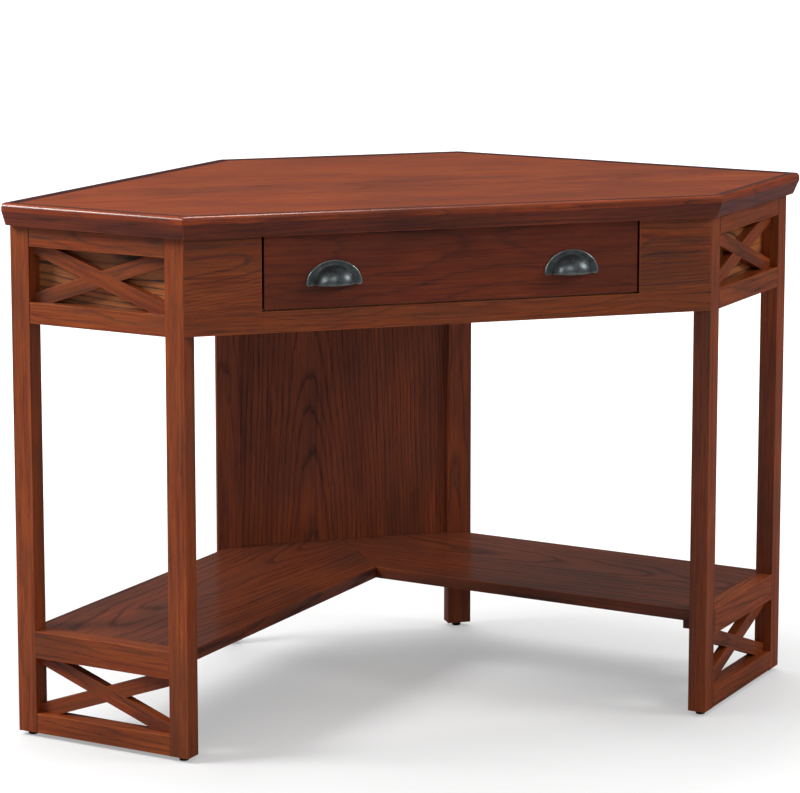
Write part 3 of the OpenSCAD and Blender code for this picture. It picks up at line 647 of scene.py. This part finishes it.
def white_floor():
    """A paper floor, white to the camera. The desk gets less light from it than from white
    paper and mirrors it faintly, which is this studio's choice, not how paper behaves."""
    reach, drop = 40.0, 0.0002
    seen_paper, lit_paper, mirrored_paper = (0.52,) * 3, (0.40, 0.38, 0.38), (0.10, 0.10, 0.11)
    glow_start, glow_end, near_glow, far_glow = 0.6, 1.8, 0.36, 0.95
    mesh = bpy.data.meshes.new("studio_floor")
    work = bmesh.new()
    work.faces.new([work.verts.new((sx * reach, sy * reach, -drop))
                    for sx, sy in ((-1, -1), (1, -1), (1, 1), (-1, 1))])
    work.to_mesh(mesh)
    work.free()
    floor = bpy.data.objects.new("studio_floor", mesh)
    bpy.context.scene.collection.objects.link(floor)
    g = Graph("floor_paper")
    path = g.add("ShaderNodeLightPath").outputs
    seen = path["Is Camera Ray"]
    bounced = g.mix(path["Is Glossy Ray"], lit_paper, mirrored_paper)
    g.link(g.mix(seen, bounced, seen_paper), g.bsdf.inputs["Base Color"])
    # the sweep's own light grows away from the desk, so that the paper ends in white
    away = g.add("ShaderNodeVectorMath", operation="LENGTH")
    g.link(g.add("ShaderNodeTexCoord").outputs["Object"], away.inputs[0])
    sweep = g.span(away.outputs["Value"], glow_start, glow_end, near_glow, far_glow)
    g.bsdf.inputs["Emission Color"].default_value = (1, 1, 1, 1)
    g.link(g.math("MULTIPLY", seen, sweep), g.bsdf.inputs["Emission Strength"])
    g.bsdf.inputs["Roughness"].default_value = 0.9
    g.bsdf.inputs["Specular IOR Level"].default_value = 0.0
    mesh.materials.append(g.mat)


def lamp(name, kind, place, target, energy, size, gloss=True, matt=True):
    """A light at place, aimed at target. size is a sun's angle in degrees or a disk's
    width in metres. gloss and matt say which surfaces it shows on."""
    data = bpy.data.lights.new(name, kind)
    data.energy = energy
    if kind == "SUN":
        data.angle = math.radians(size)
    else:
        data.shape = "DISK"
        data.size = size
    thing = bpy.data.objects.new(name, data)
    thing.location = place
    thing.visible_glossy = gloss
    thing.visible_diffuse = matt
    thing.rotation_euler = (Vector(target) - Vector(place)).to_track_quat("-Z", "Y").to_euler()
    bpy.context.scene.collection.objects.link(thing)


def white_world():
    """White behind the desk, and a dim even light round it."""
    world = bpy.data.worlds.new("studio_world")
    bpy.context.scene.world = world
    world.use_nodes = True
    nodes, links = world.node_tree.nodes, world.node_tree.links
    nodes.clear()
    pick = nodes.new("ShaderNodeMixShader")
    round_desk, behind_desk = 0.08, 1.2
    for index, strength in ((1, round_desk), (2, behind_desk)):
        glow = nodes.new("ShaderNodeBackground")
        glow.inputs["Color"].default_value = (1, 1, 1, 1)
        glow.inputs["Strength"].default_value = strength
        links.new(glow.outputs[0], pick.inputs[index])
    path = nodes.new("ShaderNodeLightPath")
    links.new(path.outputs["Is Camera Ray"], pick.inputs["Fac"])
    links.new(pick.outputs[0], nodes.new("ShaderNodeOutputWorld").inputs["Surface"])


white_floor()
white_world()
centre = (0, 0, 0.5)
lamp("left_softbox", "AREA", (-3.0, 0.2, 2.5), centre, 100, 1.3)
lamp("right_softbox", "AREA", (2.9, -1.6, 2.2), centre, 38, 1.2)
lamp("front_fill", "SUN", (0.5, -2.0, 1.0), (0, 0, 0), 0.42, 40, gloss=False)
lamp("overhead", "SUN", (-0.2, 0.9, 3.0), (0, 0, 0), 2.4, 80, gloss=False)
lamp("back_fill", "SUN", (0.3, 2.0, 1.8), (0, 0, 0), 0.3, 40, gloss=False)
lamp("left_glint", "AREA", (-2.4, -2.4, 1.9), centre, 26, 0.9, matt=False)
lamp("front_glint", "AREA", (-0.2, -3.6, 2.4), centre, 16, 0.7, matt=False)
lamp("top_glint", "AREA", (0.12, 0.15, 2.6), (0, -0.3, 0.76), 14, 0.6, matt=False)

# a long lens, held at standing height to the left of the desk's middle
camera_data = bpy.data.cameras.new("camera")
camera = bpy.data.objects.new("camera", camera_data)
bpy.context.scene.collection.objects.link(camera)
camera_data.sensor_width = 36.0
camera_data.lens = 139.0
camera_data.shift_y = -0.183
heading, dip = math.radians(16.42), math.radians(-8.58)
camera.location = (-1.259, -4.292, 1.332)
aim = Vector((math.sin(heading) * math.cos(dip), math.cos(heading) * math.cos(dip), math.sin(dip)))
camera.rotation_euler = aim.to_track_quat("-Z", "Y").to_euler()
bpy.context.scene.camera = camera
bpy.context.scene.view_settings.view_transform = "Standard"
